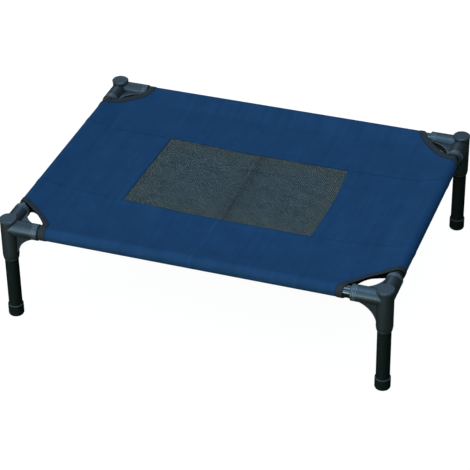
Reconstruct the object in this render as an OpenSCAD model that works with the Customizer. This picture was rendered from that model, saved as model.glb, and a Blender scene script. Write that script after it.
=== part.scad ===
// Raised pet cot: tube rails in moulded corner fittings, a stretched cloth bed with a mesh vent,
// and four push-fit legs in rubber feet.
// Millimetres, +Z up. X runs along the long side, Y runs to the back, and the floor is z = 0.

/* [Overall] */
// Length over the corner caps
length = 610; // [500:5:1200]
// Width over the corner caps
width = 470; // [400:5:900]
// Height from the floor to the top of the caps
height = 175; // [150:5:260]

/* [Corner fittings] */
// Diameter of the cap disc on top of each post
cap_d = 27; // [26:0.5:34]
// Thickness of the cap disc
cap_h = 3; // [2:0.5:4]
// Bevel round the rim of the cap disc
cap_bevel = 1.2; // [0.4:0.1:2]
// Diameter of the post below the cap
post_d = 25.5; // [25:0.5:32]
// Diameter of the two arms
arm_d = 25; // [23.5:0.5:31]
// Distance from the post's axis to the mouth of an arm
arm_reach = 50; // [46:1:60]
// Drop from the top of the cap to the axis of the rails
rail_drop = 16.5; // [16:0.5:24]
// Width of the ring at the mouth of an arm
ring_w = 3; // [2:0.5:6]
// Number of grooves behind that ring
grooves = 2; // [1:1:3]
// Distance from one groove to the next
groove_step = 3.6; // [2.6:0.1:5]
// Width of those grooves
groove_w = 1.4; // [1:0.1:2.5]
// Depth of those grooves
groove_depth = 0.8; // [0.4:0.1:1.2]
// Distance from the top of the cap down to the mouth of the leg socket
post_drop = 70; // [66:1:90]
// Length of the taper at the mouth of the leg socket
mouth_taper = 6; // [4:0.5:12]
// Diameter of the mouth of the leg socket
mouth_d = 23.5; // [23:0.1:25]
// Radius of the hollow edge of the webs
web_r = 40; // [20:1:44]
// Thickness of the webs
web_t = 6; // [3:0.5:8]

/* [Tubes and feet] */
// Diameter of the rails
rail_d = 19; // [16:0.5:20]
// Wall of the rails
rail_wall = 1; // [0.8:0.1:2]
// Depth to which a rail sits in an arm
rail_seat = 34; // [25:1:35]
// Diameter of the legs
leg_d = 21; // [18:0.5:21]
// Wall of the legs
leg_wall = 1.2; // [0.8:0.1:2]
// Depth to which a leg sits in its socket
leg_seat = 40; // [30:1:45]
// Diameter of the feet
foot_d = 24; // [23:0.5:30]
// Height of the feet
foot_h = 20; // [14:1:30]
// Thickness of the floor of a foot
foot_floor = 4; // [3:0.5:8]
// Rounding of the lower edge of a foot
foot_round = 4; // [1:0.5:5]
// Bevel round the upper edge of a foot
foot_bevel = 0.6; // [0.2:0.1:1]
// Number of notches under a foot
notches = 8; // [4:1:12]
// Width of those notches
notch_w = 1.8; // [1:0.1:3]
// Depth of those notches
notch_depth = 1.2; // [0.5:0.1:2]

/* [Cloth] */
// Thickness of the cloth
cloth_t = 0.8; // [0.5:0.1:1.2]
// Distance from the axis of a rail to the end of its sleeve
hem_w = 35; // [25:1:36]
// Distance that the cover sits off centre, towards the left
cover_shift = 4; // [0:0.5:4]
// Length of the mesh that shows
mesh_l = 296; // [200:2:600]
// Width of the mesh that shows
mesh_w = 188; // [120:2:400]
// Width by which a cloth edge laps over its neighbour
seam_lap = 8; // [4:1:12]
// Gaps in the mesh along its length
mesh_cols = 21; // [5:2:21]
// Gaps in the mesh along its width
mesh_rows = 14; // [4:2:14]
// Width of a strand of the mesh
strand_w = 3; // [1:0.5:6]
// Depth to which the edge of the mesh is pressed in under the cloth
seam_press = 0.1; // [0.05:0.05:0.2]
// Length of long rail left bare between an arm and the cover, where the cover is centred
bare_x = 7; // [4.5:0.5:20]
// Radius of the cut-out's edge between the two rails
cut_r = 150; // [120:5:200]
// Radius with which that edge turns to cross a long rail squarely
cut_blend = 20; // [8:1:30]
// Width of the binding tape
binding_w = 9; // [6:0.5:14]
// Height by which the binding tape stands proud of the cloth
binding_rise = 0.5; // [0.2:0.1:0.8]

/* [Clearances] */
// Gap round a tube in its socket
fit_gap = 0.1; // [0.05:0.05:0.2]
// Gap between a rail and the floor of its socket
end_gap = 0.3; // [0.1:0.1:1]
// Gap between a rail and its cloth sleeve
sleeve_gap = 0.3; // [0.1:0.1:0.5]
// Gap between cloth edges that lie side by side
seam_gap = 0.1; // [0.05:0.05:0.2]
// Gap between the mouth of an arm and the curve of the cut-out beside it
edge_gap = 0.2; // [0.2:0.1:2]

/* [Hidden] */
$fn = 96;
post_x = (length - cap_d) / 2;
post_y = (width - cap_d) / 2;
rail_z = height - rail_drop;
mouth_z = height - post_drop;
leg_top = mouth_z + leg_seat;
web_bite = 1.6;
web_span = post_d / 2 + web_r - web_bite;
web_end = min(web_span, arm_reach - ring_w);
arm_root = 2;
sleeve_r = rail_d / 2 + sleeve_gap;
sleeve_tip = hem_w * (sleeve_r + cloth_t) / sleeve_r;
cut_x = arm_reach + bare_x;
cut_run = arm_reach + edge_gap;
cut_offset = (sqrt(2 * cut_r ^ 2 - (cut_run - arm_d / 2) ^ 2) - cut_run - arm_d / 2) / 2;
blend_over = 1;
tip_bite = cloth_t;
sheet_start = hem_w + tip_bite;
lap_reach = seam_lap / 4;
mid_x = mesh_l / 2 + seam_lap;
mid_y = mesh_w / 2 + seam_lap;
tall = 4 * rail_d;
plastic_colour = [0.09, 0.10, 0.11];
rail_colour = [0.05, 0.05, 0.06];
leg_colour = [0.07, 0.08, 0.08];
rubber_colour = [0.04, 0.04, 0.04];
cloth_colour = [0.10, 0.24, 0.40];
mesh_colour = [0.20, 0.26, 0.29];
binding_colour = [0.17, 0.18, 0.20];

// Corner fitting: built at the front left corner, with its arms along +X and +Y

module post_body() {
    rotate_extrude()
        polygon([
            [0, mouth_z],
            [mouth_d / 2, mouth_z],
            [post_d / 2, mouth_z + mouth_taper],
            [post_d / 2, height - cap_h],
            [cap_d / 2, height - cap_h],
            [cap_d / 2, height - cap_bevel],
            [cap_d / 2 - cap_bevel, height],
            [0, height]
        ]);
}

module arm_body() {
    groove_start = arm_reach - ring_w - groove_w;
    rotate_extrude()
        difference() {
            polygon([
                [0, arm_root],
                [arm_d / 2, arm_root],
                [arm_d / 2, arm_reach - groove_depth],
                [arm_d / 2 - groove_depth, arm_reach],
                [0, arm_reach]
            ]);
            for (i = [0 : grooves - 1])
                translate([arm_d / 2 - groove_depth, groove_start - groove_step * i])
                    square([arm_d, groove_w]);
        }
}

module web_plate() {
    linear_extrude(web_t, center = true)
        difference() {
            square(web_end);
            translate([web_span, web_span])
                circle(r = web_r);
        }
}

module along_x() {
    translate([0, 0, rail_z])
        rotate([0, 90, 0])
            children();
}

module along_y() {
    translate([0, 0, rail_z])
        rotate([-90, 0, 0])
            children();
}

module rail_socket() {
    translate([0, 0, arm_reach - rail_seat - end_gap])
        cylinder(d = rail_d + 2 * fit_gap, h = arm_reach);
}

module corner_fitting() {
    color(plastic_colour)
        difference() {
            union() {
                post_body();
                along_x()
                    arm_body();
                along_y()
                    arm_body();
                translate([0, 0, rail_z])
                    web_plate();
                translate([0, 0, rail_z])
                    rotate([-90, 0, 0])
                        web_plate();
                translate([0, 0, rail_z])
                    rotate([-90, 0, 90])
                        web_plate();
            }
            translate([0, 0, leg_top - height])
                cylinder(d = leg_d + 2 * fit_gap, h = height);
            along_x()
                rail_socket();
            along_y()
                rail_socket();
        }
}

module at_front_left() {
    translate([-post_x, -post_y, 0])
        children();
}

module at_front_right() {
    translate([post_x, -post_y, 0])
        rotate([0, 0, 90])
            children();
}

module at_back_right() {
    translate([post_x, post_y, 0])
        rotate([0, 0, 180])
            children();
}

module at_back_left() {
    translate([-post_x, post_y, 0])
        rotate([0, 0, 270])
            children();
}

// Tubes and feet

module rail(span) {
    reach = span - 2 * (arm_reach - rail_seat);
    color(rail_colour)
        rotate([0, 90, 0])
            difference() {
                cylinder(d = rail_d, h = reach, center = true);
                cylinder(d = rail_d - 2 * rail_wall, h = span, center = true);
            }
}

module leg() {
    color(leg_colour)
        difference() {
            translate([0, 0, foot_floor])
                cylinder(d = leg_d, h = leg_top - foot_floor);
            cylinder(d = leg_d - 2 * leg_wall, h = height);
        }
}

module foot_section() {
    square([foot_d / 2 - foot_round, foot_h - foot_bevel]);
    translate([0, foot_round])
        square([foot_d / 2, foot_h - foot_bevel - foot_round]);
    translate([foot_d / 2 - foot_round, foot_round])
        circle(r = foot_round);
    translate([0, foot_h - foot_bevel])
        square([foot_d / 2 - foot_bevel, foot_bevel]);
}

module foot() {
    color(rubber_colour)
        difference() {
            rotate_extrude()
                foot_section();
            translate([0, 0, foot_floor])
                cylinder(d = leg_d + fit_gap, h = foot_h);
            for (i = [0 : notches - 1])
                rotate([0, 0, 360 * (i + 0.5) / notches])
                    translate([foot_d / 4, -notch_w / 2, -notch_depth])
                        cube([foot_d / 2, notch_w, 2 * notch_depth]);
        }
}

// Cloth cover: sleeves that taper from the rails to a flat sheet level with the rail axes

module teardrop(r, tip) {
    lean = acos(r / tip);
    circle(r = r);
    polygon([
        [tip, 0],
        [r * cos(lean), r * sin(lean)],
        [0, 0],
        [r * cos(lean), -r * sin(lean)]
    ]);
}

module sleeve_section(rise) {
    outer_r = sleeve_r + cloth_t + rise;
    difference() {
        teardrop(outer_r, hem_w * outer_r / sleeve_r);
        teardrop(sleeve_r, hem_w);
    }
}

module sleeve(span, rise) {
    rotate([90, 0, 90])
        linear_extrude(span, center = true)
            sleeve_section(rise);
}

module long_sleeve(sy) {
    translate([0, sy * post_y, rail_z])
        rotate([0, 0, sy > 0 ? 180 : 0])
            sleeve(2 * post_x, 0);
}

module short_sleeve(sx) {
    translate([sx * post_x, 0, rail_z])
        rotate([0, 0, 90 * sx])
            sleeve(2 * post_y, 0);
}

// Cut-out at a corner, with the post at the origin and both rails running inboard along +X and +Y:
// an arc that runs on over the short rail, and turns with a blend to cross the long rail squarely
module cut_area(sx, grow) {
    reach = cut_x + sx * cover_shift + grow;
    arc_r = cut_r + grow;
    blend_r = cut_blend + grow;
    blend_x = reach - blend_r;
    blend_y = sqrt((arc_r - blend_r) ^ 2 - (blend_x + cut_offset) ^ 2) - cut_offset;
    turn = atan2(blend_y + cut_offset, blend_x + cut_offset);
    edge_x = blend_x + (blend_r + blend_over) * cos(turn);
    edge_y = blend_y + (blend_r + blend_over) * sin(turn);
    difference() {
        intersection() {
            translate([-cut_offset, -cut_offset])
                circle(r = arc_r);
            translate([-cut_r, -cut_r])
                square([cut_r + reach, 2 * cut_r]);
        }
        difference() {
            polygon([
                [blend_x, blend_y],
                [reach + blend_over, blend_y],
                [reach + blend_over, edge_y],
                [edge_x, edge_y]
            ]);
            translate([blend_x, blend_y])
                circle(r = blend_r);
        }
    }
}

module at_corner(sx, sy) {
    translate([sx * post_x, sy * post_y, rail_z])
        mirror([sx > 0 ? 1 : 0, 0, 0])
            mirror([0, sy > 0 ? 1 : 0, 0])
                children();
}

module cut_out(sx, sy) {
    at_corner(sx, sy)
        linear_extrude(tall, center = true)
            cut_area(sx, binding_w);
}

module block(xs, ys) {
    translate([min(xs), min(ys), rail_z - tall / 2])
        cube([abs(xs[1] - xs[0]), abs(ys[1] - ys[0]), tall]);
}

module sheet(xs, ys, z) {
    translate([min(xs), min(ys), rail_z + z])
        cube([abs(xs[1] - xs[0]), abs(ys[1] - ys[0]), cloth_t]);
}

module long_panel(sy) {
    seam = sy * (mid_y + seam_gap / 2);
    sheet_x = post_x - sheet_start;
    lap_x = post_x - hem_w;
    color(cloth_colour) {
        difference() {
            long_sleeve(sy);
            cut_out(-1, sy);
            cut_out(1, sy);
        }
        for (sx = [-1, 1])
            difference() {
                intersection() {
                    short_sleeve(sx);
                    block([-length, length], [sy * post_y, sy * mesh_w / 2]);
                }
                cut_out(sx, sy);
            }
        difference() {
            sheet([-sheet_x, sheet_x], [sy * (post_y - sheet_start), seam], -cloth_t / 2);
            cut_out(-1, sy);
            cut_out(1, sy);
        }
        sheet([-lap_x, lap_x], [seam + sy * lap_reach, sy * mesh_w / 2], cloth_t / 2);
    }
}

module short_panel(sx) {
    seam_x = sx * (mid_x + seam_gap / 2) - cover_shift;
    seam_y = mid_y - seam_gap / 2;
    lap_y = mesh_w / 2 - seam_gap;
    sheet_x = sx * (post_x - sheet_start);
    tongue_x = sx * (post_x - sleeve_tip - seam_gap);
    color(cloth_colour) {
        intersection() {
            short_sleeve(sx);
            block([-length, length], [-lap_y, lap_y]);
        }
        sheet([sheet_x, seam_x], [-lap_y, lap_y], -cloth_t / 2);
        sheet([tongue_x, seam_x], [-seam_y, seam_y], -cloth_t / 2);
        sheet([seam_x + sx * lap_reach, sx * mesh_l / 2 - cover_shift], [-lap_y, lap_y], cloth_t / 2);
    }
}

module mesh_outline() {
    square([2 * mid_x - seam_gap, 2 * mid_y - seam_gap], center = true);
}

module mesh_panel() {
    gap_x = mesh_l / mesh_cols;
    gap_y = mesh_w / mesh_rows;
    color(mesh_colour)
        translate([-cover_shift, 0, rail_z])
            difference() {
                linear_extrude(cloth_t, center = true)
                    difference() {
                        mesh_outline();
                        for (i = [0 : mesh_cols - 1], j = [0 : mesh_rows - 1])
                            translate([gap_x * (i + 0.5) - mesh_l / 2, gap_y * (j + 0.5) - mesh_w / 2])
                                square([gap_x - strand_w, gap_y - strand_w], center = true);
                    }
                translate([0, 0, cloth_t / 2 - seam_press])
                    linear_extrude(cloth_t)
                        difference() {
                            square([3 * mid_x, 3 * mid_y], center = true);
                            square([mesh_l - 2 * seam_gap, mesh_w - 2 * seam_gap], center = true);
                        }
            }
}

module tape_band(sx, part) {
    linear_extrude(tall, center = true)
        intersection() {
            difference() {
                cut_area(sx, binding_w);
                cut_area(sx, 0);
            }
            polygon(part);
        }
}

module corner_binding(sx, sy) {
    far = 2 * cut_x;
    long_side = [[0, -rail_d], [far, -rail_d], [far, far], [0, 0]];
    short_side = [[-rail_d, 0], [0, 0], [far, far], [-rail_d, far]];
    middle = [[sheet_start, sheet_start], [far, sheet_start], [far, far], [sheet_start, far]];
    color(binding_colour)
        at_corner(sx, sy) {
            intersection() {
                sleeve(2 * far, binding_rise);
                tape_band(sx, long_side);
            }
            intersection() {
                rotate([0, 0, 90])
                    mirror([0, 1, 0])
                        sleeve(2 * far, binding_rise);
                tape_band(sx, short_side);
            }
            intersection() {
                cube([2 * far, 2 * far, cloth_t + 2 * binding_rise], center = true);
                tape_band(sx, middle);
            }
        }
}

// Assembly

at_front_left() corner_fitting();  // corner_fitting_front_left
at_front_right() corner_fitting();  // corner_fitting_front_right
at_back_left() corner_fitting();  // corner_fitting_back_left
at_back_right() corner_fitting();  // corner_fitting_back_right
translate([0, -post_y, rail_z]) rail(2 * post_x);  // front_rail
translate([0, post_y, rail_z]) rail(2 * post_x);  // back_rail
translate([-post_x, 0, rail_z]) rotate([0, 0, 90]) rail(2 * post_y);  // left_rail
translate([post_x, 0, rail_z]) rotate([0, 0, 90]) rail(2 * post_y);  // right_rail
at_front_left() leg();  // leg_front_left
at_front_right() leg();  // leg_front_right
at_back_left() leg();  // leg_back_left
at_back_right() leg();  // leg_back_right
at_front_left() foot();  // foot_front_left
at_front_right() foot();  // foot_front_right
at_back_left() foot();  // foot_back_left
at_back_right() foot();  // foot_back_right
long_panel(-1);  // front_panel
long_panel(1);  // back_panel
short_panel(-1);  // left_panel
short_panel(1);  // right_panel
mesh_panel();
corner_binding(-1, -1);  // corner_binding_front_left
corner_binding(1, -1);  // corner_binding_front_right
corner_binding(-1, 1);  // corner_binding_back_left
corner_binding(1, 1);  // corner_binding_back_right
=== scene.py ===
"""Raised pet cot: the sewn cover on its tube frame, and the finish of every surface."""

import math

import bmesh
import bpy
from bpy.props import FloatProperty, FloatVectorProperty, PointerProperty
from mathutils import Matrix, Vector, noise


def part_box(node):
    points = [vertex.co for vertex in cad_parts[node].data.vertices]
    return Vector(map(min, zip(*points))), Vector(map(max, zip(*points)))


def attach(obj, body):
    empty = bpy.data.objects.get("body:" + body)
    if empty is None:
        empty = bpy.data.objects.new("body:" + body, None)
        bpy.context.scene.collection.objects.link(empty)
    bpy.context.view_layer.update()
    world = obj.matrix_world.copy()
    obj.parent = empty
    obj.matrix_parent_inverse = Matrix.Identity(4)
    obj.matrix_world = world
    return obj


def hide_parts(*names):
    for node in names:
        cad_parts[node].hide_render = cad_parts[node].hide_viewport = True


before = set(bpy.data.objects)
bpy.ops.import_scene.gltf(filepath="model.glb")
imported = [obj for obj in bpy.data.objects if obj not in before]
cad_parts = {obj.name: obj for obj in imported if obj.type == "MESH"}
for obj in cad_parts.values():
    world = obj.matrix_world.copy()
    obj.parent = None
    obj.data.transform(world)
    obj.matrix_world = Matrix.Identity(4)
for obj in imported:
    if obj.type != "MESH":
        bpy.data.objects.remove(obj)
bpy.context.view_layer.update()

bl_info = {
    "name": "Raised Pet Cot",
    "version": (1, 0, 0),
    "blender": (4, 5, 0),
    "location": "3D View > Sidebar > Cot",
    "description": "Sews the cover of a raised pet cot onto its frame and finishes every surface",
    "category": "Object",
}

CORNERS = {"front_left": (-1, -1), "front_right": (1, -1), "back_left": (-1, 1), "back_right": (1, 1)}
MM = 0.001


def middle(node, axis):
    """Middle of a frame node along one axis."""
    low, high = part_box(node)
    return (low[axis] + high[axis]) / 2


# Places that the frame gives: the axes of the rails, and the reach of the cover round them.
RAIL_X = middle("right_rail", 0)
RAIL_Y = middle("back_rail", 1)
RAIL_Z = middle("front_rail", 2)
SLEEVE_R = -RAIL_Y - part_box("front_panel")[0].y
MESH_LOW, MESH_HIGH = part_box("mesh_panel")
COVER_X = middle("mesh_panel", 0)
HALF_WRAP = math.pi * SLEEVE_R

# The packing fold crosses the cover beside its middle.
FOLD_X = -1.3 * MM

# Distances between neighbouring points of the cover.
FLAT_STEP = 3.2 * MM
SHORT_FLAT_STEP = 2.8 * MM
CURVE_STEP = 2.4 * MM
FLAP_STEP = 3 * MM
LAP_STEP = 2 * MM
CUT_STEP = 2 * MM
STITCH_ROW_STEP = 4 * MM

# Distance over which a lapped edge comes down to the cloth beside it.
LAP_FALL = 2 * MM

# Size, place and tint of each lamp, and the point that they all face.
LAMPS = {
    "key": ((2.6, 2.2), (-1.4, -2.4, 1.3), (0.74, 0.92, 1.0)),
    "low": ((1.7, 0.5), (-0.45, -2.6, 0.25), (0.88, 0.97, 0.88)),
    "top": ((2.0, 2.0), (0.45, -0.45, 2.4), (0.44, 0.77, 1.0)),
    "back": ((1.7, 1.7), (-1.2, 2.7, 2.9), (0.52, 0.75, 1.0)),
}
LIT_POINT = Vector((0, 0, 0.12))


def length(name, description, default):
    """A size in metres that a user can change."""
    return FloatProperty(name=name, description=description, default=default, unit="LENGTH", precision=5)


def power(name, description, default):
    """A lamp's power in watts that a user can change."""
    return FloatProperty(name=name, description=description, default=default, unit="POWER")


def colour(name, description, default):
    """A linear colour that a user can change."""
    return FloatVectorProperty(
        name=name, description=description, default=default, subtype="COLOR", size=3, min=0, max=1
    )


class COT_PG_cover(bpy.types.PropertyGroup):
    """Sizes of the sewn cover."""

    thickness: length("Cloth thickness", "Thickness of the blue cloth", 0.6 * MM)
    sheet_top: length("Sheet height", "Height of the taut sheet's top above the rail axes", 0.4 * MM)
    hem: length("Hem", "Distance from a rail's axis to the stitched end of its sleeve", 37.9 * MM)
    flap: length("Flap", "Length of the sleeve's loose flap past its stitches", 7 * MM)
    lap: length("Seam lap", "Width by which the cloth laps over the mesh", 8 * MM)
    lap_rise: length("Lap rise", "Height by which a lapped edge stands over the mesh", 0.8 * MM)
    tape: length("Tape width", "Width of the binding tape round a corner cut-out", 9 * MM)
    tape_tuck: length("Tape tuck", "Width of bare rail that a left corner's tape covers too", 1.8 * MM)
    tape_rise: length("Tape rise", "Height of the binding tape over the cloth", 0.45 * MM)
    cut_radius: length("Cut radius", "Radius of the curve of a corner cut-out", 150 * MM)
    cut_centre: length("Cut centre", "Distance along each axis from a post to that curve's centre", 73 * MM)
    cut_blend: length("Cut blend", "Radius with which that curve turns to cross a long rail", 20 * MM)
    under_cut: length("Under cut", "Distance by which a cut-out is wider under the bed", 8.5 * MM)
    corner_lift: length("Corner lift", "Height to which the taut bound edge pulls up the cloth", 7.5 * MM)
    lift_fade: length("Lift fade", "Distance over which that lift dies away", 26 * MM)
    ripple: length("Ripple", "Height of the tension ripples beside the short rails", 0.35 * MM)
    crease: length("Crease", "Height of the fold mark across the middle", 2.4 * MM)
    skew: length("Skew", "Distance by which the mesh's right end is sewn nearer to the front", 6.5 * MM)
    bow_front: length("Front bow", "Distance by which the mesh's front seam is pulled to the front", 5 * MM)
    bow_left: length(
        "Left bow", "Distance by which the mesh's front left corner is pulled to the left", 5.5 * MM
    )
    bow_right: length("Right bow", "Bow of the mesh's right seam", 4.5 * MM)
    mesh_pitch: length("Mesh pitch", "Distance between strands of the mesh", 2.7 * MM)
    mesh_gap: length("Mesh gap", "Width of a gap between strands", 0.30 * MM)
    mesh_wave: length("Mesh wave", "Height of the over-and-under wave of the strands", 0.17 * MM)
    stitch: length("Stitch", "Length of one stitch", 2.8 * MM)
    stitch_step: length("Stitch step", "Distance from one stitch to the next", 3.6 * MM)
    thread: length("Thread", "Diameter of the sewing thread", 0.45 * MM)


class COT_PG_colours(bpy.types.PropertyGroup):
    """Colours of the finishes."""

    cloth: colour("Cloth", "Blue cover cloth", (0.0130, 0.0450, 0.1065))
    thread: colour("Thread", "Sewing thread", (0.0070, 0.0378, 0.0977))
    mesh: colour("Mesh", "Strands of the vent mesh", (0.0330, 0.0453, 0.0509))
    tape: colour("Tape", "Binding tape", (0.0285, 0.0302, 0.0340))
    plastic: colour("Plastic", "Moulded corner fittings", (0.0175, 0.0165, 0.0145))
    rail: colour("Rail", "Gloss enamel on the rails", (0.0040, 0.0050, 0.0060))
    leg: colour("Leg", "Rough coat on the legs", (0.0037, 0.0084, 0.0066))
    foot: colour("Foot", "Rubber feet", (0.0050, 0.0088, 0.0080))
    floor: colour("Floor", "Studio floor as it is seen", (0.80, 0.80, 0.80))
    # Painted shadow: the floor's colour under and behind the cot, as it lights and is mirrored.
    shadowed_floor: colour(
        "Bounce", "Studio floor under and behind the cot as it lights and is mirrored", (0.060, 0.072, 0.038)
    )


class COT_PG_stage(bpy.types.PropertyGroup):
    """Light and camera."""

    key: power("Key light", "Power of the front left lamp", 37)
    low: power("Low light", "Power of the strip at the horizon", 20)
    top: power("Top light", "Power of the overhead lamp", 50)
    back: power("Back light", "Power of the lamp behind", 13)
    sky: FloatProperty(name="Sky", description="Strength of the light from all round", default=0.4)
    lens: FloatProperty(name="Lens", description="Focal length in mm", default=150.30, unit="CAMERA")


# The cover as laid on the frame


def slope(cover):
    """Tangent of the angle at which a sleeve runs from its rail down to its hem."""
    return SLEEVE_R / math.sqrt(cover.hem**2 - SLEEVE_R**2)


def sleeve_height(cover, inboard):
    """Height of a sleeve's outer face above the rail's axis, at a distance inboard of it."""
    touch = SLEEVE_R**2 / cover.hem
    if inboard <= touch:
        return math.sqrt(max(0, SLEEVE_R**2 - inboard**2))
    ramp = (cover.hem - inboard) * slope(cover) - cover.sheet_top
    blur = 0.5 * MM
    if ramp > 8 * blur:
        return cover.sheet_top + ramp
    return cover.sheet_top + blur * math.log1p(math.exp(ramp / blur))


def plan_inboard(past):
    """Plan distance inboard of a rail's axis, for cloth that goes a distance past the rail's top."""
    if past <= 0:
        return -past
    if past < HALF_WRAP:
        return -SLEEVE_R * math.sin(past / SLEEVE_R)
    return past - HALF_WRAP


def wrap_height(cover, past, lift):
    """Height above the rail's axis of cloth that goes a distance past the rail's top and back below."""
    if past < HALF_WRAP:
        return (SLEEVE_R + lift) * math.cos(past / SLEEVE_R)
    clearance = 0.05 * MM
    under = cover.thickness + cover.sheet_top + clearance
    return -max(sleeve_height(cover, past - HALF_WRAP), under) - lift


def ease(value):
    """Smooth step from 0 to 1."""
    value = min(1, max(0, value))
    return value * value * (3 - 2 * value)


def ripples(cover, x, y):
    """Fine slack of the taut cloth: streaks beside the short rails, and a faint overall unevenness."""
    past_mesh, rise, fall = 150 * MM, 40 * MM, 30 * MM
    side = ease((abs(x - COVER_X) - past_mesh) / rise) * ease((RAIL_X - abs(x)) / fall)
    streak = noise.noise(Vector((x / (11 * MM), y / (170 * MM), 3.7)))
    streak += 0.6 * noise.noise(Vector((x / (24 * MM), y / (120 * MM), 8.1)))
    broad = noise.noise(Vector((x / (60 * MM), y / (45 * MM), 1.3)))
    return cover.ripple * (side * streak + 0.5 * broad)


def crease(cover, x, y):
    """Ridge left by folding the cover flat, sharpest across the mesh."""
    off = abs(x - FOLD_X)
    mesh_end, fade = 104 * MM, 50 * MM
    sleeve, sleeve_fade = 12 * MM, 20 * MM
    broad, sharp = 9 * MM, 2.5 * MM
    inside = ease((mesh_end - abs(y)) / fade)
    outside_share = 0.3 if y < 0 else 0.1
    share = outside_share + (1 - outside_share) * inside
    edge = ease((RAIL_Y - sleeve - abs(y)) / sleeve_fade)
    ridge = 0.7 * math.exp(-off / broad) + 0.3 * math.exp(-off / sharp)
    return cover.crease * share * edge * ridge


def sheet_height(cover, x, y):
    """Height of the cover's top face at a plan point, from the sheet, the sleeves and the corners."""
    inboard_x, inboard_y = RAIL_X - abs(x), RAIL_Y - abs(y)
    centre = cover.cut_centre
    from_cut = math.hypot(inboard_x + centre, inboard_y + centre) - cover.cut_radius
    lift = cover.corner_lift * math.exp(-max(0, from_cut) / cover.lift_fade)
    rises = [sleeve_height(cover, inboard_x), sleeve_height(cover, inboard_y)]
    rises = [rise - cover.sheet_top for rise in rises] + [lift]
    joined = sum(max(0, rise) ** 5 for rise in rises) ** 0.2
    tight, slack = 8 * MM, 30 * MM
    loose = ease((min(inboard_x, inboard_y) - tight) / slack)
    return RAIL_Z + cover.sheet_top + joined + loose * ripples(cover, x, y) + crease(cover, x, y)


def bowed(cover, x, y):
    """Plan point after uneven sewing and tension have pulled the mesh's seams off straight lines."""
    mesh_y = MESH_HIGH.y - cover.lap
    mesh_x = (MESH_HIGH.x - MESH_LOW.x) / 2 - cover.lap
    from_middle = x - COVER_X
    across, along = y / mesh_y, from_middle / mesh_x
    held = 5 * MM
    free_x, free_y = RAIL_X - held, RAIL_Y - held
    fade_x = ease((free_x - abs(x)) / (free_x - mesh_x))
    fade_y = ease((free_y - abs(y)) / (free_y - mesh_y))
    if from_middle < 0:
        out_x = -cover.bow_left * min(1, max(0, (1 - across) / 2)) * fade_y
    else:
        out_x = cover.bow_right * max(0, 1 - across**2)
    skew_from = 1.1
    forward = cover.skew * ease((along + skew_from) / skew_from)
    if y < 0:
        forward += cover.bow_front * ease(-across)
    return x + out_x * ease(abs(along)) * fade_x, y - forward * fade_x * fade_y


def lay(cover, s, t, lift=0.0):
    """Place of the cloth's flat point (s, t): between the rails, or round and under one of them."""
    past_x, past_y = abs(s) - RAIL_X, abs(t) - RAIL_Y
    if past_x > 0:
        out = -plan_inboard(past_x) * (1 + lift / SLEEVE_R if past_x < HALF_WRAP else 1)
        return Vector((math.copysign(RAIL_X + out, s), t, RAIL_Z + wrap_height(cover, past_x, lift)))
    if past_y > 0:
        out = -plan_inboard(past_y) * (1 + lift / SLEEVE_R if past_y < HALF_WRAP else 1)
        return Vector((s, math.copysign(RAIL_Y + out, t), RAIL_Z + wrap_height(cover, past_y, lift)))
    x, y = bowed(cover, s, t)
    return Vector((x, y, sheet_height(cover, x, y) + lift))


def cut_reach(cover, corner):
    """Distance along the long rail from a post to the raw edge of its cut-out."""
    low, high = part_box("corner_binding_" + corner)
    return RAIL_X + (high.x if CORNERS[corner][0] < 0 else -low.x) - cover.tape


def cut_blend(cover, reach):
    """Centre of the blend in a cut-out's edge, from the post, and the angle through which it turns."""
    x = reach - cover.cut_blend + cover.cut_centre
    y = math.sqrt((cover.cut_radius - cover.cut_blend) ** 2 - x**2)
    return x - cover.cut_centre, y - cover.cut_centre, math.atan2(y, x)


def cut_along_short(cover, inboard, grow):
    """Distance along the short rail from a post to its cut-out's edge, at a distance inboard."""
    radius, centre = cover.cut_radius + grow, cover.cut_centre
    return math.sqrt(radius**2 - (inboard + centre) ** 2) - centre


def cut_along_long(cover, reach, inboard, grow):
    """Distance along the long rail from a post to its cut-out's edge, at a distance inboard."""
    x, y, turn = cut_blend(cover, reach)
    radius = cover.cut_blend + grow
    if inboard <= y:
        return reach + grow
    if inboard < y + radius * math.sin(turn):
        return x + math.sqrt(radius**2 - (inboard - y) ** 2)
    return cut_along_short(cover, inboard, grow)


def wider_below(cover, past):
    """Distance by which a cut-out is wider where the cloth goes a distance past the rail's top."""
    fade = 14 * MM
    return cover.under_cut * ease((past - HALF_WRAP) / fade)


def cut_curve(cover, reach, grow):
    """Places and directions out of the cut along its edge in plan, from the long rail to the short rail."""
    x, y, turn = cut_blend(cover, reach)
    radius, arc, centre = cover.cut_blend + grow, cover.cut_radius + grow, cover.cut_centre
    curve = []
    if y > 0:
        curve = [(Vector((reach + grow, along)), Vector((1, 0))) for along in steps(0, y, CUT_STEP)[:-1]]
    start = math.asin(min(1, max(0, -y / radius)))
    if start < turn:
        for angle in steps(start, turn, CUT_STEP / radius)[:-1]:
            out = Vector((math.cos(angle), math.sin(angle)))
            curve.append((Vector((x, y)) + out * radius, out))
    for angle in steps(max(turn, math.asin(centre / arc)), math.acos(centre / arc), CUT_STEP / arc):
        out = Vector((math.cos(angle), math.sin(angle)))
        curve.append((out * arc - Vector((centre, centre)), out))
    return curve


def steps(start, end, spacing):
    """Evenly spaced values from start to end, about spacing apart."""
    count = max(1, round(abs(end - start) / spacing))
    return [start + (end - start) * i / count for i in range(count + 1)]


def past_rail(cover, spacing):
    """Distances past a rail's top for rows of cloth that go round it and back to the end of the flap."""
    end = HALF_WRAP + cover.hem + cover.flap
    return steps(0, HALF_WRAP, CURVE_STEP)[1:] + steps(HALF_WRAP, end, spacing)[1:]


# Building blocks


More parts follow.
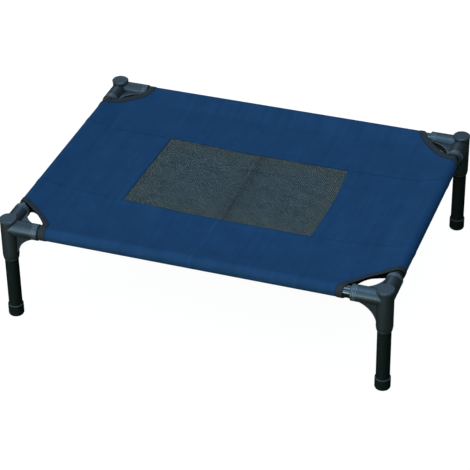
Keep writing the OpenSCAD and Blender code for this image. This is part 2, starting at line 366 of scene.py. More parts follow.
def new_piece(name, bm, material):
    """Turn a finished bmesh into an object that rides on the cot's body."""
    mesh = bpy.data.meshes.new(name)
    bm.to_mesh(mesh)
    bm.free()
    mesh.materials.append(material)
    mesh.polygons.foreach_set("use_smooth", [True] * len(mesh.polygons))
    piece = bpy.data.objects.new(name, mesh)
    bpy.context.scene.collection.objects.link(piece)
    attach(piece, "cot")
    return piece


def thicken(piece, thickness):
    """Give a sheet its thickness, inwards from the face that shows."""
    wall = piece.modifiers.new("Thickness", "SOLIDIFY")
    wall.thickness = thickness
    wall.offset = -1
    wall.use_even_offset = False


def grid(columns, rows, layers=()):
    """A flat grid with its vertices as a table, by column and row, and with layers of values for them."""
    bm = bmesh.new()
    for name in layers:
        bm.verts.layers.float.new(name)
    bmesh.ops.create_grid(bm, x_segments=columns - 1, y_segments=rows - 1, size=1)
    if len(bm.verts) != columns * rows:
        raise RuntimeError("the grid has %d vertices and not %d" % (len(bm.verts), columns * rows))
    place = {}
    for vert in bm.verts:
        i = round((vert.co.x + 1) / 2 * (columns - 1))
        j = round((vert.co.y + 1) / 2 * (rows - 1))
        place[i, j] = vert
    return bm, place


def drop_faces(bm, place, gone):
    """Delete the grid's cells for which gone(i, j) is true, i and j being the cell's column and row."""
    index = {vert: key for key, vert in place.items()}
    doomed = []
    for face in bm.faces:
        keys = [index[vert] for vert in face.verts]
        if gone(min(k[0] for k in keys), min(k[1] for k in keys)):
            doomed.append(face)
    bmesh.ops.delete(bm, geom=doomed, context="FACES")


def keep_flat(bm, flat_of):
    """Store each corner's place on the flat cloth in the UV map, and return the flat area."""
    layer = bm.loops.layers.uv.new("flat")
    area = 0.0
    for face in bm.faces:
        points = [flat_of[vert] for vert in face.verts]
        for loop, point in zip(face.loops, points):
            loop[layer].uv = point
        for (x0, y0), (x1, y1) in zip(points, points[1:] + points[:1]):
            area += (x0 * y1 - x1 * y0) / 2
    return abs(area)


# Finishes


def add(tree, kind, inputs=None, **settings):
    """A new shader node with its settings and inputs, where a socket given as an input is linked."""
    made = tree.nodes.new("ShaderNode" + kind)
    for name, value in settings.items():
        setattr(made, name, value)
    for name, value in (inputs or {}).items():
        if isinstance(value, bpy.types.NodeSocket):
            tree.links.new(value, made.inputs[name])
        else:
            made.inputs[name].default_value = value
    return made


def finish(name, roughness, **sockets):
    """A new material, its node tree and its shader."""
    material = bpy.data.materials.new(name)
    material.use_nodes = True
    shader = material.node_tree.nodes["Principled BSDF"]
    shader.inputs["Roughness"].default_value = roughness
    for socket, value in sockets.items():
        shader.inputs[socket.replace("_", " ")].default_value = value
    return material, material.node_tree, shader


def in_millimetres(tree, socket):
    """Coordinates of a socket in metres, turned to millimetres."""
    return add(tree, "Mapping", {"Vector": socket, "Scale": (1000, 1000, 1000)}).outputs["Vector"]


def object_millimetres(tree):
    """The piece's own coordinates in millimetres."""
    return in_millimetres(tree, add(tree, "TexCoord").outputs["Object"])


def flat_millimetres(tree):
    """Place on the flat cloth in millimetres."""
    return in_millimetres(tree, add(tree, "UVMap", uv_map="flat").outputs["UV"])


def noisy(tree, where, scale, detail, **more):
    """Values of a noise texture, with more of its inputs by name."""
    inputs = {"Vector": where, "Scale": scale, "Detail": detail, **more}
    return add(tree, "TexNoise", inputs).outputs["Fac"]


def remap(tree, value, start, end, low, high, **settings):
    """A value that runs from start to end, turned to one that runs from low to high and stops there."""
    inputs = {"Value": value, "From Min": start, "From Max": end, "To Min": low, "To Max": high}
    return add(tree, "MapRange", inputs, **settings).outputs["Result"]


def calculate(tree, operation, *values):
    """Result of one sum on numbers or sockets."""
    return add(tree, "Math", dict(enumerate(values)), operation=operation).outputs[0]


def scaled(tree, paint, factor):
    """A colour socket times a factor."""
    return add(tree, "VectorMath", {0: paint, "Scale": factor}, operation="SCALE").outputs["Vector"]


def mottled(tree, shader, where, base, size, spread, detail=4):
    """Vary the base colour a little in soft patches of a given size in millimetres, and return it."""
    ramp = add(tree, "ValToRGB", {"Fac": noisy(tree, where, 1 / size, detail, Roughness=0.6)})
    ramp.color_ramp.elements[0].position = 0.3
    ramp.color_ramp.elements[1].position = 0.7
    ramp.color_ramp.elements[0].color = [c * (1 - spread) for c in base] + [1]
    ramp.color_ramp.elements[1].color = [c * (1 + spread) for c in base] + [1]
    tree.links.new(ramp.outputs["Color"], shader.inputs["Base Color"])
    return ramp.outputs["Color"]


def uneven_gloss(tree, shader, where, size, low, high):
    """Vary the roughness between two values in patches of a given size in millimetres."""
    patches = noisy(tree, where, 1 / size, 3)
    tree.links.new(remap(tree, patches, 0.3, 0.7, low, high), shader.inputs["Roughness"])


def relief(tree, shader, height, distance, rounding=0.0):
    """Bump from a height socket, with its depth in metres, over edges rounded by a radius."""
    bump = add(tree, "Bump", {"Height": height, "Distance": distance, "Strength": 1.0})
    if rounding:
        edges = add(tree, "Bevel", {"Radius": rounding}, samples=4)
        tree.links.new(edges.outputs["Normal"], bump.inputs["Normal"])
    tree.links.new(bump.outputs["Normal"], shader.inputs["Normal"])


def painted_edge_highlight(tree, shader, paint, reach, pale):
    """Paint a paler highlight onto the outer edges, over a reach in metres."""
    inner = add(tree, "AmbientOcclusion", {"Distance": reach}, inside=True, only_local=True, samples=16)
    highlight_mask = remap(tree, inner.outputs["AO"], 0.9, 0.45, 0, 1)
    both = add(tree, "MixRGB", {"Fac": highlight_mask, "Color1": paint, "Color2": (*pale, 1)})
    tree.links.new(both.outputs["Color"], shader.inputs["Base Color"])


def painted_hollow_shade(tree, paint, reach):
    """Colour darkened with painted shade in grooves and inner corners, over a reach in metres."""
    bare = add(tree, "AmbientOcclusion", {"Distance": reach}, only_local=True, samples=16)
    return scaled(tree, paint, remap(tree, bare.outputs["AO"], 0.55, 0.92, 0.1, 1))


def fold_crest_highlight(tree, where):
    """Mask of a painted highlight along the fold's crest across the cloth, clearest at the front."""
    place = add(tree, "SeparateXYZ", {0: where})
    off = calculate(tree, "ABSOLUTE", calculate(tree, "SUBTRACT", place.outputs["X"], FOLD_X / MM))
    line = remap(tree, off, 0.3, 1.8, 1, 0, interpolation_type="SMOOTHSTEP")
    front = remap(tree, place.outputs["Y"], -90, -80, 1, 0.3)
    return calculate(tree, "MULTIPLY", line, front)


def wave_scale(pitch):
    """Scale at which a wave texture repeats once per pitch."""
    return math.pi / 10 / pitch


def woven(tree, where, pitch):
    """Height of a plain weave with a thread pitch in millimetres."""
    inputs = {"Vector": where, "Scale": wave_scale(pitch), "Distortion": 0.6, "Detail": 1}
    warp, weft = (add(tree, "TexWave", inputs, bands_direction=way).outputs["Fac"] for way in "XY")
    return calculate(tree, "MAXIMUM", warp, weft)


def cloth_finish(base):
    """Close-woven blue cover cloth."""
    material, tree, shader = finish(
        "cover_cloth", 0.8, Specular_IOR_Level=0.06, Sheen_Weight=0.03, Sheen_Roughness=0.45,
        Sheen_Tint=(0.35, 0.65, 1.0, 1),
    )
    where = flat_millimetres(tree)
    blend = mottled(tree, shader, where, base, 38, 0.10, 6)
    drawn = add(tree, "Mapping", {"Vector": where, "Scale": (0.12, 0.007, 1)})
    streaks = remap(tree, noisy(tree, drawn.outputs["Vector"], 1.0, 4), 0.3, 0.7, 0.92, 1.08)
    # Painted highlight: the cloth turns lighter along the fold's crest, on top of its streaks.
    mark = calculate(tree, "MULTIPLY_ADD", fold_crest_highlight(tree, where), 0.3, streaks)
    tree.links.new(scaled(tree, blend, mark), shader.inputs["Base Color"])
    uneven_gloss(tree, shader, where, 5, 0.70, 0.86)
    relief(tree, shader, woven(tree, where, 0.8), 0.06 * MM)
    return material


def thread_finish(base):
    """Twisted sewing thread."""
    material, tree, shader = finish("seam_thread", 0.6, Specular_IOR_Level=0.1)
    where = object_millimetres(tree)
    mottled(tree, shader, where, base, 3, 0.12)
    return material


def mesh_finish(base):
    """Coated yarn of the vent mesh."""
    material, tree, shader = finish("vent_yarn", 0.6, Specular_IOR_Level=0.12)
    where = object_millimetres(tree)
    blend = mottled(tree, shader, where, base, 7, 0.32, 8)
    dusty = (1.18 * base[0], 1.02 * base[1], 0.85 * base[2], 1)
    border = add(tree, "Attribute", attribute_name="border")
    both = add(tree, "MixRGB", {"Fac": border.outputs["Fac"], "Color1": blend, "Color2": dusty})
    # The stored tone is the yarn's own tone times painted shade and highlight at the fold and at the
    # crossings.
    tone = add(tree, "Attribute", attribute_name="tone")
    toned_and_shaded = scaled(tree, both.outputs["Color"], tone.outputs["Fac"])
    tree.links.new(toned_and_shaded, shader.inputs["Base Color"])
    uneven_gloss(tree, shader, where, 3, 0.48, 0.66)
    relief(tree, shader, noisy(tree, where, 1.6, 3), 0.08 * MM)
    return material


def tape_finish(base):
    """Ribbed binding tape."""
    material, tree, shader = finish("binding_tape", 0.72, Specular_IOR_Level=0.1)
    where = flat_millimetres(tree)
    mottled(tree, shader, where, base, 6, 0.16)
    inputs = {"Vector": where, "Scale": wave_scale(1.6), "Distortion": 0.4}
    ribs = add(tree, "TexWave", inputs, bands_direction="X")
    relief(tree, shader, ribs.outputs["Fac"], 0.12 * MM)
    return material


def plastic_finish(base):
    """Satin moulded plastic with a fine spark-eroded grain."""
    # The blue specular tint paints a sky's colour into the plastic's reflections.
    material, tree, shader = finish(
        "fitting_plastic", 0.42, Specular_IOR_Level=0.92, Specular_Tint=(0.57, 0.79, 1.0, 1)
    )
    where = object_millimetres(tree)
    blend = mottled(tree, shader, where, base, 9, 0.18, 6)
    # Painted shade: the grooves and inner corners of the fittings turn dark.
    shaded_in_hollows = painted_hollow_shade(tree, blend, 1.5 * MM)
    # Painted highlight: the outer edges, the rims of the grooves among them, turn pale.
    painted_edge_highlight(tree, shader, shaded_in_hollows, 1.2 * MM, (0.27, 0.295, 0.32))
    uneven_gloss(tree, shader, where, 4, 0.36, 0.46)
    relief(tree, shader, noisy(tree, where, 1.4, 4, Roughness=0.6), 0.06 * MM, 0.25 * MM)
    return material


def rail_finish(base):
    """Gloss enamel on steel tube, with a slight orange peel."""
    # The blue specular tint paints a sky's colour into the enamel's reflections.
    material, tree, shader = finish(
        "rail_enamel", 0.16, Specular_IOR_Level=0.9, Specular_Tint=(0.70, 0.88, 1.0, 1), Coat_Weight=0.3,
        Coat_Roughness=0.06,
    )
    where = object_millimetres(tree)
    mottled(tree, shader, where, base, 12, 0.12)
    uneven_gloss(tree, shader, where, 7, 0.12, 0.24)
    relief(tree, shader, noisy(tree, where, 0.55, 2), 0.05 * MM)
    return material


def leg_finish(base):
    """Rough wrinkled coat on the legs."""
    material, tree, shader = finish("leg_coat", 0.7, Specular_IOR_Level=0.18)
    where = object_millimetres(tree)
    mottled(tree, shader, where, base, 3, 0.35, 6)
    uneven_gloss(tree, shader, where, 3, 0.58, 0.82)
    relief(tree, shader, noisy(tree, where, 0.55, 5, Roughness=0.65, Distortion=0.6), 0.5 * MM)
    return material


def foot_finish(base):
    """Matte rubber with a dusty bloom."""
    material, tree, shader = finish("foot_rubber", 0.8, Specular_IOR_Level=0.15)
    where = object_millimetres(tree)
    blend = mottled(tree, shader, where, base, 5, 0.3, 6)
    # Painted highlight: the outer edges of the foot turn pale.
    painted_edge_highlight(tree, shader, blend, 1.2 * MM, (0.085, 0.092, 0.092))
    uneven_gloss(tree, shader, where, 3, 0.72, 0.88)
    relief(tree, shader, noisy(tree, where, 1.1, 4), 0.12 * MM, 0.5 * MM)
    return material


MAKERS = {
    "cloth": cloth_finish, "thread": thread_finish, "mesh": mesh_finish, "tape": tape_finish,
    "plastic": plastic_finish, "rail": rail_finish, "leg": leg_finish, "foot": foot_finish,
}
made_finishes = {}


def finish_of(kind):
    """The finish of one kind of piece, made once."""
    if kind not in made_finishes:
        made_finishes[kind] = MAKERS[kind](getattr(bpy.context.scene.cot_colours, kind)[:])
    return made_finishes[kind]


def dress(node, kind):
    """Give a frame node its finish."""
    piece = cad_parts[node]
    for slot in piece.material_slots:
        slot.material = finish_of(kind)


# Operators


class COT_OT_dress_fittings(bpy.types.Operator):
    """Finish the four moulded corner fittings"""

    bl_idname = "cot.dress_fittings"
    bl_label = "Corner Fittings"

    def execute(self, context):
        for corner in CORNERS:
            dress("corner_fitting_" + corner, "plastic")
        return {"FINISHED"}


class COT_OT_dress_rails(bpy.types.Operator):
    """Finish the four tube rails"""

    bl_idname = "cot.dress_rails"
    bl_label = "Rails"

    def execute(self, context):
        for side in ("front", "back", "left", "right"):
            dress(side + "_rail", "rail")
        return {"FINISHED"}


class COT_OT_dress_legs(bpy.types.Operator):
    """Finish the four legs and their rubber feet"""

    bl_idname = "cot.dress_legs"
    bl_label = "Legs and Feet"

    def execute(self, context):
        for corner in CORNERS:
            dress("leg_" + corner, "leg")
            dress("foot_" + corner, "foot")
        return {"FINISHED"}


class COT_OT_sew_long_covers(bpy.types.Operator):
    """Sew the front and back strips, which sleeve a long rail and the ends of both short rails"""

    bl_idname = "cot.sew_long_covers"
    bl_label = "Front and Back Strips"

    def execute(self, context):
        for side, sy in (("front", -1), ("back", 1)):
            self.sew(context.scene.cot_cover, side, sy)
        return {"FINISHED"}

    def sew(self, cover, side, sy):
        """One strip, from its seam on the mesh over the rails and back to the ends of its flaps."""
        reach = [cut_reach(cover, side + end) for end in ("_left", "_right")]
        seam = MESH_HIGH.y - cover.lap
        start = (cover.cut_radius + cover.tape) * math.sqrt(0.5) - cover.cut_centre
        turn, lapped = RAIL_Y - start, seam + cover.lap
        rows = steps(seam, lapped, LAP_STEP) + steps(lapped, turn, FLAT_STEP)[1:]
        wide = len(rows)
        rows += steps(turn, RAIL_Y, CURVE_STEP)[1:]
        rows += [RAIL_Y + past for past in past_rail(cover, FLAP_STEP)]
        side_columns = [RAIL_X - start + d for d in steps(0, start, CURVE_STEP)[1:]]
        side_columns += [RAIL_X + past for past in past_rail(cover, FLAP_STEP)]
        inner = round(2 * (RAIL_X - start) / FLAT_STEP)
        count = len(side_columns)
        bm, place = grid(inner + 1 + 2 * count, len(rows))
        drop_faces(bm, place, lambda i, j: j >= wide - 1 and not count <= i < count + inner)
        flat_of = {}
        on_sleeve, sleeve_fade = 36 * MM, 10 * MM
        for (i, j), vert in place.items():
            if not vert.is_valid:
                continue
            t = rows[j]
            inboard, wider = plan_inboard(t - RAIL_Y), wider_below(cover, t - RAIL_Y)
            edge = [RAIL_X - start] * 2
            if j >= wide:
                edge = [RAIL_X - cut_along_long(cover, r, inboard, cover.tape) - wider for r in reach]
            if count <= i <= count + inner:
                s = -edge[0] + (edge[0] + edge[1]) * (i - count) / inner
            else:
                s = -side_columns[count - 1 - i] if i < count else side_columns[i - count - inner - 1]
                past = abs(s) - RAIL_X
                along = cut_along_short(cover, plan_inboard(past), cover.tape)
                end = RAIL_Y - along - wider_below(cover, past)
                t = lapped + (t - lapped) * (end - lapped) / (turn - lapped) if t > lapped else t
            flat_of[vert] = (s, sy * t)
            flat_part = ease((RAIL_X - abs(s) - on_sleeve) / sleeve_fade)
            rise = cover.lap_rise * (0.5 + 0.5 * flat_part)
            vert.co = lay(cover, s, sy * t, rise * ease((lapped + LAP_FALL - t) / LAP_FALL))
        if sy < 0:
            bmesh.ops.reverse_faces(bm, faces=bm.faces)
        area = keep_flat(bm, flat_of)
        piece = new_piece(side + "_cover", bm, finish_of("cloth"))
        thicken(piece, cover.thickness)
        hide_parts(side + "_panel")


class COT_OT_sew_short_covers(bpy.types.Operator):
    """Sew the left and right strips of the cover, which sleeve the middles of the short rails"""

    bl_idname = "cot.sew_short_covers"
    bl_label = "Left and Right Strips"

    def execute(self, context):
        for side, sx in (("left", -1), ("right", 1)):
            self.sew(context.scene.cot_cover, side, sx)
        return {"FINISHED"}

    def sew(self, cover, side, sx):
        """One strip, with tongues that reach under the seams of the front and back strips."""
        seam = sx * (MESH_LOW.x if sx < 0 else MESH_HIGH.x) - cover.lap
        columns = steps(seam, seam + cover.lap, LAP_STEP)
        lapped = len(columns) - 1
        inside_hem, seam_gap, short_of_lap = 1 * MM, 0.1 * MM, 1 * MM
        hem = RAIL_X - cover.hem - inside_hem
        columns += steps(seam + cover.lap, hem, SHORT_FLAT_STEP)[1:]
        flat_end = len(columns) - 1
        columns += steps(hem, RAIL_X, CURVE_STEP)[1:]
        columns += [RAIL_X + past for past in past_rail(cover, FLAP_STEP)]
        end = MESH_HIGH.y - cover.lap - seam_gap
        tongue = steps(end, end + cover.lap - short_of_lap, CURVE_STEP)[1:]
        rows = [-t for t in reversed(tongue)] + steps(-end, end, FLAT_STEP) + tongue
        bm, place = grid(len(columns), len(rows))
        first, last = len(tongue), len(rows) - 1 - len(tongue)
        drop_faces(bm, place, lambda i, j: not first <= j < last and not lapped <= i < flat_end)
        flat_of = {}
        for (i, j), vert in place.items():
            if not vert.is_valid:
                continue
            s, t = columns[i], rows[j]
            flat_of[vert] = (sx * s, t)
            vert.co = lay(cover, sx * s, t)
            vert.co.z += cover.lap_rise * ease((seam + cover.lap + LAP_FALL - s) / LAP_FALL)
        if sx < 0:
            bmesh.ops.reverse_faces(bm, faces=bm.faces)
        area = keep_flat(bm, flat_of)
        piece = new_piece(side + "_cover", bm, finish_of("cloth"))
        thicken(piece, cover.thickness)
        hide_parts(side + "_panel")


class COT_OT_weave_vent(bpy.types.Operator):
    """Weave the open mesh in the middle of the bed"""

    bl_idname = "cot.weave_vent"
    bl_label = "Vent Mesh"

    def execute(self, context):
        cover = context.scene.cot_cover
        hidden, dusty_border, sunk = 1.5 * MM, 45 * MM, 0.25 * MM
        low = Vector((MESH_LOW.x + hidden, MESH_LOW.y + hidden))
        size = Vector((MESH_HIGH.x - hidden, MESH_HIGH.y - hidden)) - low
        count = [round(size[k] / cover.mesh_pitch) for k in (0, 1)]
        pitch = [size[k] / count[k] for k in (0, 1)]
        bm, place = grid(2 * count[0] + 2, 2 * count[1] + 2, ["border", "tone"])
        drop_faces(bm, place, lambda i, j: i % 2 == 1 and j % 2 == 1)
        flat_of = {}
        border, tone = (bm.verts.layers.float[name] for name in ("border", "tone"))
        for (i, j), vert in place.items():
            along = [low[k] + pitch[k] * (n // 2) + (n % 2) * (pitch[k] - cover.mesh_gap)
                     for k, n in ((0, i), (1, j))]
            over = 1 if (i // 2 + j // 2) % 2 else -1
            flat_of[vert] = tuple(along)
            inside = min(min(along[k] - low[k], low[k] + size[k] - along[k]) for k in (0, 1))
            vert[border] = 1 - ease((inside - cover.lap) / dusty_border)
            warp, weft = i // 2, j // 2
            from_fold = pitch[0] * (warp - round((FOLD_X - low.x) / pitch[0])) / MM
            # Painted light and shade: crossings where the strand lies over are 10% lighter, those where it
            # lies under 10% darker. The fold's painted shade and highlight and the yarns' own tone go in
            # too.
            vert[tone] = self.fold_shade_and_highlight(from_fold) * self.yarn_tone(warp, weft) * (1 + 0.10 * over)
            vert.co = lay(cover, *along)
            vert.co.z += over * cover.mesh_wave - sunk
        area = keep_flat(bm, flat_of)
        piece = new_piece("vent_mesh", bm, finish_of("mesh"))
        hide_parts("mesh_panel")
        return {"FINISHED"}

    def yarn_tone(self, warp, weft):
        """Tone of one crossing, from the slubs of its two yarns and a speckle of its own."""
        along, between = 0.13, 7.31
        weft_slub = noise.noise(Vector((along * warp, between * weft, 5.4)))
        warp_slub = noise.noise(Vector((between * warp, along * weft, 9.1)))
        speckle = noise.noise(Vector((7.77 * warp, 5.39 * weft, 2.2)))
        return 1 + 0.34 * weft_slub + 0.12 * warp_slub + 0.18 * speckle

    def fold_shade_and_highlight(self, off):
        """Painted shade and highlight of the yarn at a distance in millimetres right of the fold: darker on
        both sides, lighter on the ridge.
        """
        beside, width, ridge = 4.5, 2.5, 1.6
        left = 0.30 * math.exp(-(((off + beside) / width) ** 2)) + 0.10 * math.exp(-abs(off) / 12)
        right = 0.16 * math.exp(-(((off - beside) / width) ** 2))
        right += 0.26 * ease(off / 4) * math.exp(-max(0, off) / 18)
        return 1 - left - right + 0.3 * math.exp(-((off / ridge) ** 2))


def tape_path(cover, corner):
    """Stations along a bound edge, each a function from the distance off the raw edge to a flat point."""
    reach = cut_reach(cover, corner)
    tape_step, squared = 2.5 * MM, 16 * MM
    under = past_rail(cover, tape_step)[:-2]
    tuck = cover.tape_tuck if CORNERS[corner][0] < 0 else 0

    def tucked(grow, share):
        return grow - share * tuck * (1 - grow / cover.tape)

    def on_long(past):
        def point(grow):
            along = cut_along_long(cover, reach, plan_inboard(past), tucked(grow, 1))
            return RAIL_X - along - wider_below(cover, past), RAIL_Y + past

        return point

    def on_short(past):
        def point(grow):
            along = cut_along_short(cover, plan_inboard(past), grow)
            return RAIL_X + past, RAIL_Y - along - wider_below(cover, past)

        return point

    def between(place, out):
        square = Vector((1, 0)).lerp(out, ease(place.y / squared))
        square = Vector((0, 1)).lerp(square, ease(place.x / squared)).normalized()

        def point(grow):
            off = tucked(grow, 1 - ease(place.y / squared)) - cover.tape / 2
            x, y = place + square * off / square.dot(out)
            return RAIL_X - x, RAIL_Y - y

        return point

    path = [on_long(past) for past in reversed(under)]
    path += [between(place, out) for place, out in cut_curve(cover, reach, cover.tape / 2)]
    return path + [on_short(past) for past in under]


class COT_OT_bind_corners(bpy.types.Operator):
    """Bind the four corner cut-outs with folded tape"""

    bl_idname = "cot.bind_corners"
    bl_label = "Corner Binding"

    def execute(self, context):
        for corner in CORNERS:
            self.bind(context.scene.cot_cover, corner)
        return {"FINISHED"}

    def bind(self, cover, corner):
        """One tape, folded over the raw edge from its top face to its under face."""
        sx, sy = CORNERS[corner]
        gap, tape_thickness = 0.3 * MM, 0.25 * MM
        over, under, wide = cover.tape_rise, -cover.thickness - gap, cover.tape
        fold = [
            (wide, 0.6 * over), (0.94 * wide, over), (0.7 * wide, 1.1 * over), (0.4 * wide, 1.1 * over),
            (0.12 * wide, over), (0.03 * wide, 0.5 * over), (0, 0.5 * under), (0.03 * wide, 0.9 * under),
            (0.12 * wide, under), (0.5 * wide, under), (wide, under),
        ]
        path = tape_path(cover, corner)
        bm, place = grid(len(path), len(fold))
        flat_of, along, last = {}, 0.0, None
        across = [0.0]
        for (g0, h0), (g1, h1) in zip(fold, fold[1:]):
            across.append(across[-1] + math.hypot(g1 - g0, h1 - h0))
        for i, station in enumerate(path):
            middle_point = lay(cover, *station(wide / 2))
            along += (middle_point - last).length if last else 0
            last = middle_point
            for j, (grow, lift) in enumerate(fold):
                s, t = station(grow)
                vert = place[i, j]
                vert.co = lay(cover, sx * s, sy * t, lift)
                flat_of[vert] = (along, across[j])
        if sx * sy > 0:
            bmesh.ops.reverse_faces(bm, faces=bm.faces)
        area = keep_flat(bm, flat_of)
        piece = new_piece("corner_tape_" + corner, bm, finish_of("tape"))
        thicken(piece, tape_thickness)
        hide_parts("corner_binding_" + corner)


class COT_OT_stitch_seams(bpy.types.Operator):
    """Stitch the hems, the seams round the mesh and the binding tape"""

    bl_idname = "cot.stitch_seams"
    bl_label = "Stitching"

    def execute(self, context):
        cover = context.scene.cot_cover
        edge, inside_hem, clear_of_hem = 2.2 * MM, 1 * MM, 8 * MM
        long_corner, short_corner = 64 * MM, 62 * MM
        lines = []
        seam_y = MESH_HIGH.y - cover.lap + edge
        hem_y = RAIL_Y - cover.hem - inside_hem
        long_seam = self.row(RAIL_X - cover.hem - clear_of_hem)
        long_hem = self.row(RAIL_X - long_corner)
        for sy in (-1, 1):
            lines.append([(s, sy * seam_y, cover.lap_rise) for s in long_seam])
            lines.append([(s, sy * hem_y, 0) for s in long_hem])
        hem_x = RAIL_X - cover.hem - inside_hem
        short_seam = self.row(MESH_HIGH.y - cover.lap)
        short_hem = self.row(RAIL_Y - short_corner)
        for sx, mesh_x in ((-1, MESH_LOW.x + cover.lap), (1, MESH_HIGH.x - cover.lap)):
            lines.append([(mesh_x + sx * edge, t, cover.lap_rise) for t in short_seam])
            lines.append([(sx * hem_x, t, 0) for t in short_hem])
        self.sew("cover_stitching", cover, lines, "cloth")
        lines = []
        from_edge, over_tape = 0.86 * cover.tape, 1.05 * cover.tape_rise
        for corner, (sx, sy) in CORNERS.items():
            stations = [station(from_edge) for station in tape_path(cover, corner)]
            lines.append([(sx * s, sy * t, over_tape) for s, t in stations])
        self.sew("tape_stitching", cover, lines, "binding")
        return {"FINISHED"}

    def row(self, end):
        """Places along a row of stitches as far as end on both sides of the middle."""
        return steps(-end, end, STITCH_ROW_STEP)

    def sew(self, name, cover, lines, slot):
        """One row of stitches along each line of flat points with lifts."""
        bm = bmesh.new()
        for line in lines:
            points = [lay(cover, s, t, lift) for s, t, lift in line]
            normals = [self.outward(cover, *point) for point in line]
            due = cover.stitch_step / 2
            for a, b, up in zip(points, points[1:], normals):
                gap = (b - a).length
                while due < gap:
                    self.stitch(bm, cover, a.lerp(b, due / gap), (b - a).normalized(), up)
                    due += cover.stitch_step
                due -= gap
        new_piece(name, bm, finish_of("thread"))

    def outward(self, cover, s, t, lift):
        """Direction out of the cloth's face."""
        return (lay(cover, s, t, lift + 1 * MM) - lay(cover, s, t, lift)).normalized()

    def stitch(self, bm, cover, at, along, up):
        """One stitch: a slim bead that dips into the cloth at both ends."""
        side = up.cross(along).normalized()
        turn = Matrix((along, side, along.cross(side))).transposed().to_4x4()
        size = Matrix.Diagonal((cover.stitch / 2, cover.thread / 2, cover.thread / 2, 1))
        placed = Matrix.Translation(at) @ turn @ size
        bmesh.ops.create_icosphere(bm, subdivisions=1, radius=1, matrix=placed)


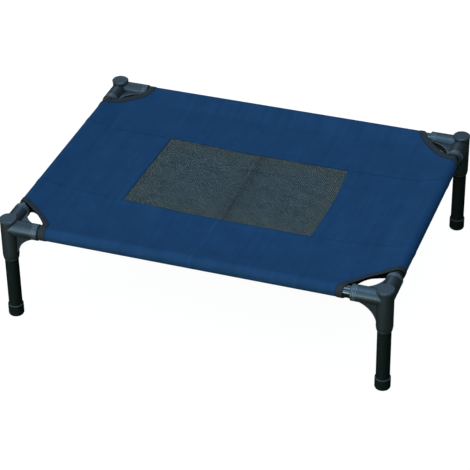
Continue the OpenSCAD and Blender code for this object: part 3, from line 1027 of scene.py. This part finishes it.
class COT_OT_set_stage(bpy.types.Operator):
    """Set the pale floor, the soft studio light and the camera"""

    bl_idname = "cot.set_stage"
    bl_label = "Stage"

    def execute(self, context):
        stage = context.scene.cot_stage
        context.scene.view_settings.view_transform = "Standard"
        self.floor(context.scene.cot_colours)
        self.world(context.scene, stage.sky)
        for name, (size, at, tint) in LAMPS.items():
            self.lamp(name + "_lamp", getattr(stage, name), size, Vector(at), tint)
        self.camera(context.scene, stage.lens)
        return {"FINISHED"}

    def floor(self, colours):
        """Floor that is white where it is seen, and to other rays darker under and behind the cot as a
        painted shadow.
        """
        half_width, shadow_share, glow_strength = 12, 0.16, 0.96
        bm = bmesh.new()
        bmesh.ops.create_grid(bm, x_segments=1, y_segments=1, size=half_width)
        mesh = bpy.data.meshes.new("floor")
        bm.to_mesh(mesh)
        bm.free()
        piece = bpy.data.objects.new("floor", mesh)
        bpy.context.scene.collection.objects.link(piece)
        material = bpy.data.materials.new("studio_floor")
        material.use_nodes = True
        tree = material.node_tree
        tree.nodes.clear()
        matte = add(tree, "BsdfDiffuse", {"Color": [shadow_share * c for c in colours.floor] + [1]})
        place = add(tree, "SeparateXYZ", {0: add(tree, "TexCoord").outputs["Object"]})
        # Painted shadow: to bounced and mirrored light the floor is dark under and behind the cot, and pale
        # in front.
        in_front = remap(tree, place.outputs["Y"], -0.5, -1.1, 0, 1)
        tints = {"Color1": (*colours.shadowed_floor, 1), "Color2": (*colours.floor, 1)}
        painted_floor_shadow = add(tree, "MixRGB", {"Fac": in_front, **tints})
        dim = add(tree, "BsdfDiffuse", {"Color": painted_floor_shadow.outputs["Color"]})
        glow = add(tree, "Emission", {"Color": (1, 1, 1, 1), "Strength": glow_strength})
        white = add(tree, "AddShader", {0: glow.outputs[0], 1: matte.outputs[0]})
        both = add(tree, "MixShader", {0: self.seen(tree), 1: dim.outputs[0], 2: white.outputs[0]})
        add(tree, "OutputMaterial", {"Surface": both.outputs[0]})
        mesh.materials.append(material)

    def seen(self, tree):
        """1 for rays that show the backdrop."""
        path = add(tree, "LightPath").outputs
        return calculate(tree, "MAXIMUM", path["Is Camera Ray"], path["Is Transmission Ray"])

    def world(self, scene, strength):
        """World that is white where it is seen, and to other rays a soft sky, stronger from the left."""
        world = bpy.data.worlds.new("studio")
        world.use_nodes = True
        tree = world.node_tree
        tree.nodes.clear()
        ways = add(tree, "TexCoord").outputs["Generated"]
        sky = add(tree, "ValToRGB", {"Fac": add(tree, "SeparateXYZ", {0: ways}).outputs["Z"]})
        sky.color_ramp.elements[0].color = (0.14, 0.15, 0.16, 1)
        sky.color_ramp.elements[1].color = (0.62, 0.84, 1.0, 1)
        side = add(tree, "VectorMath", {0: ways, 1: (-1, 0, 0)}, operation="DOT_PRODUCT")
        share = remap(tree, side.outputs["Value"], -1, 1, 0.1 * strength, 1.9 * strength)
        soft = add(tree, "Background", {"Color": sky.outputs["Color"], "Strength": share})
        white = add(tree, "Background", {"Color": (1, 1, 1, 1), "Strength": 1.0})
        both = add(tree, "MixShader", {0: self.seen(tree), 1: soft.outputs[0], 2: white.outputs[0]})
        add(tree, "OutputWorld", {"Surface": both.outputs[0]})
        scene.world = world

    def lamp(self, name, watts, size, at, tint):
        """One soft lamp that faces the cot."""
        light = bpy.data.lights.new(name, "AREA")
        light.energy = watts
        light.color = tint
        light.shape = "RECTANGLE"
        light.size, light.size_y = size
        lamp = bpy.data.objects.new(name, light)
        lamp.location = at
        lamp.rotation_euler = (LIT_POINT - at).to_track_quat("-Z", "Y").to_euler()
        bpy.context.scene.collection.objects.link(lamp)

    def camera(self, scene, lens):
        """The view of the photo, from the front right and above."""
        turn, rise, roll = math.radians(19.88), math.radians(33.70), math.radians(-0.90)
        aim, distance, sensor = Vector((0.0449, -0.1594, 0.175)), 2.875, 36
        back = Vector((math.sin(turn) * math.cos(rise), -math.cos(turn) * math.cos(rise), math.sin(rise)))
        right = Vector((0, 0, 1)).cross(back).normalized()
        up = back.cross(right)
        across = right * math.cos(roll) + up * math.sin(roll)
        view = Matrix((across, back.cross(across), back)).transposed().to_4x4()
        data = bpy.data.cameras.new("camera")
        data.lens, data.sensor_width = lens, sensor
        data.clip_end = 60
        camera = bpy.data.objects.new("camera", data)
        camera.matrix_world = Matrix.Translation(aim + back * distance) @ view
        scene.collection.objects.link(camera)
        scene.camera = camera


OPERATORS = (
    COT_OT_set_stage, COT_OT_dress_fittings, COT_OT_dress_rails, COT_OT_dress_legs, COT_OT_sew_long_covers,
    COT_OT_sew_short_covers, COT_OT_weave_vent, COT_OT_bind_corners, COT_OT_stitch_seams,
)


class COT_PT_panel(bpy.types.Panel):
    """Lists the steps that dress the cot"""

    bl_idname = "COT_PT_panel"
    bl_label = "Raised Pet Cot"
    bl_space_type = "VIEW_3D"
    bl_region_type = "UI"
    bl_category = "Cot"

    def draw(self, context):
        for operator in OPERATORS:
            self.layout.operator(operator.bl_idname)
        for group in (context.scene.cot_cover, context.scene.cot_colours, context.scene.cot_stage):
            box = self.layout.box()
            for name in group.bl_rna.properties.keys():
                if name not in ("rna_type", "name"):
                    box.prop(group, name)


GROUPS = {"cot_cover": COT_PG_cover, "cot_colours": COT_PG_colours, "cot_stage": COT_PG_stage}


def register():
    """Register the classes and hang the settings on the scene."""
    for cls in (*GROUPS.values(), *OPERATORS, COT_PT_panel):
        bpy.utils.register_class(cls)
    for name, cls in GROUPS.items():
        setattr(bpy.types.Scene, name, PointerProperty(type=cls))


def unregister():
    """Undo register()."""
    for name in GROUPS:
        delattr(bpy.types.Scene, name)
    for cls in reversed((*GROUPS.values(), *OPERATORS, COT_PT_panel)):
        bpy.utils.unregister_class(cls)


def main():
    """Dress the frame step by step."""
    register()
    for operator in OPERATORS:
        group, name = operator.bl_idname.split(".")
        getattr(getattr(bpy.ops, group), name)()


if __name__ == "__main__":
    main()
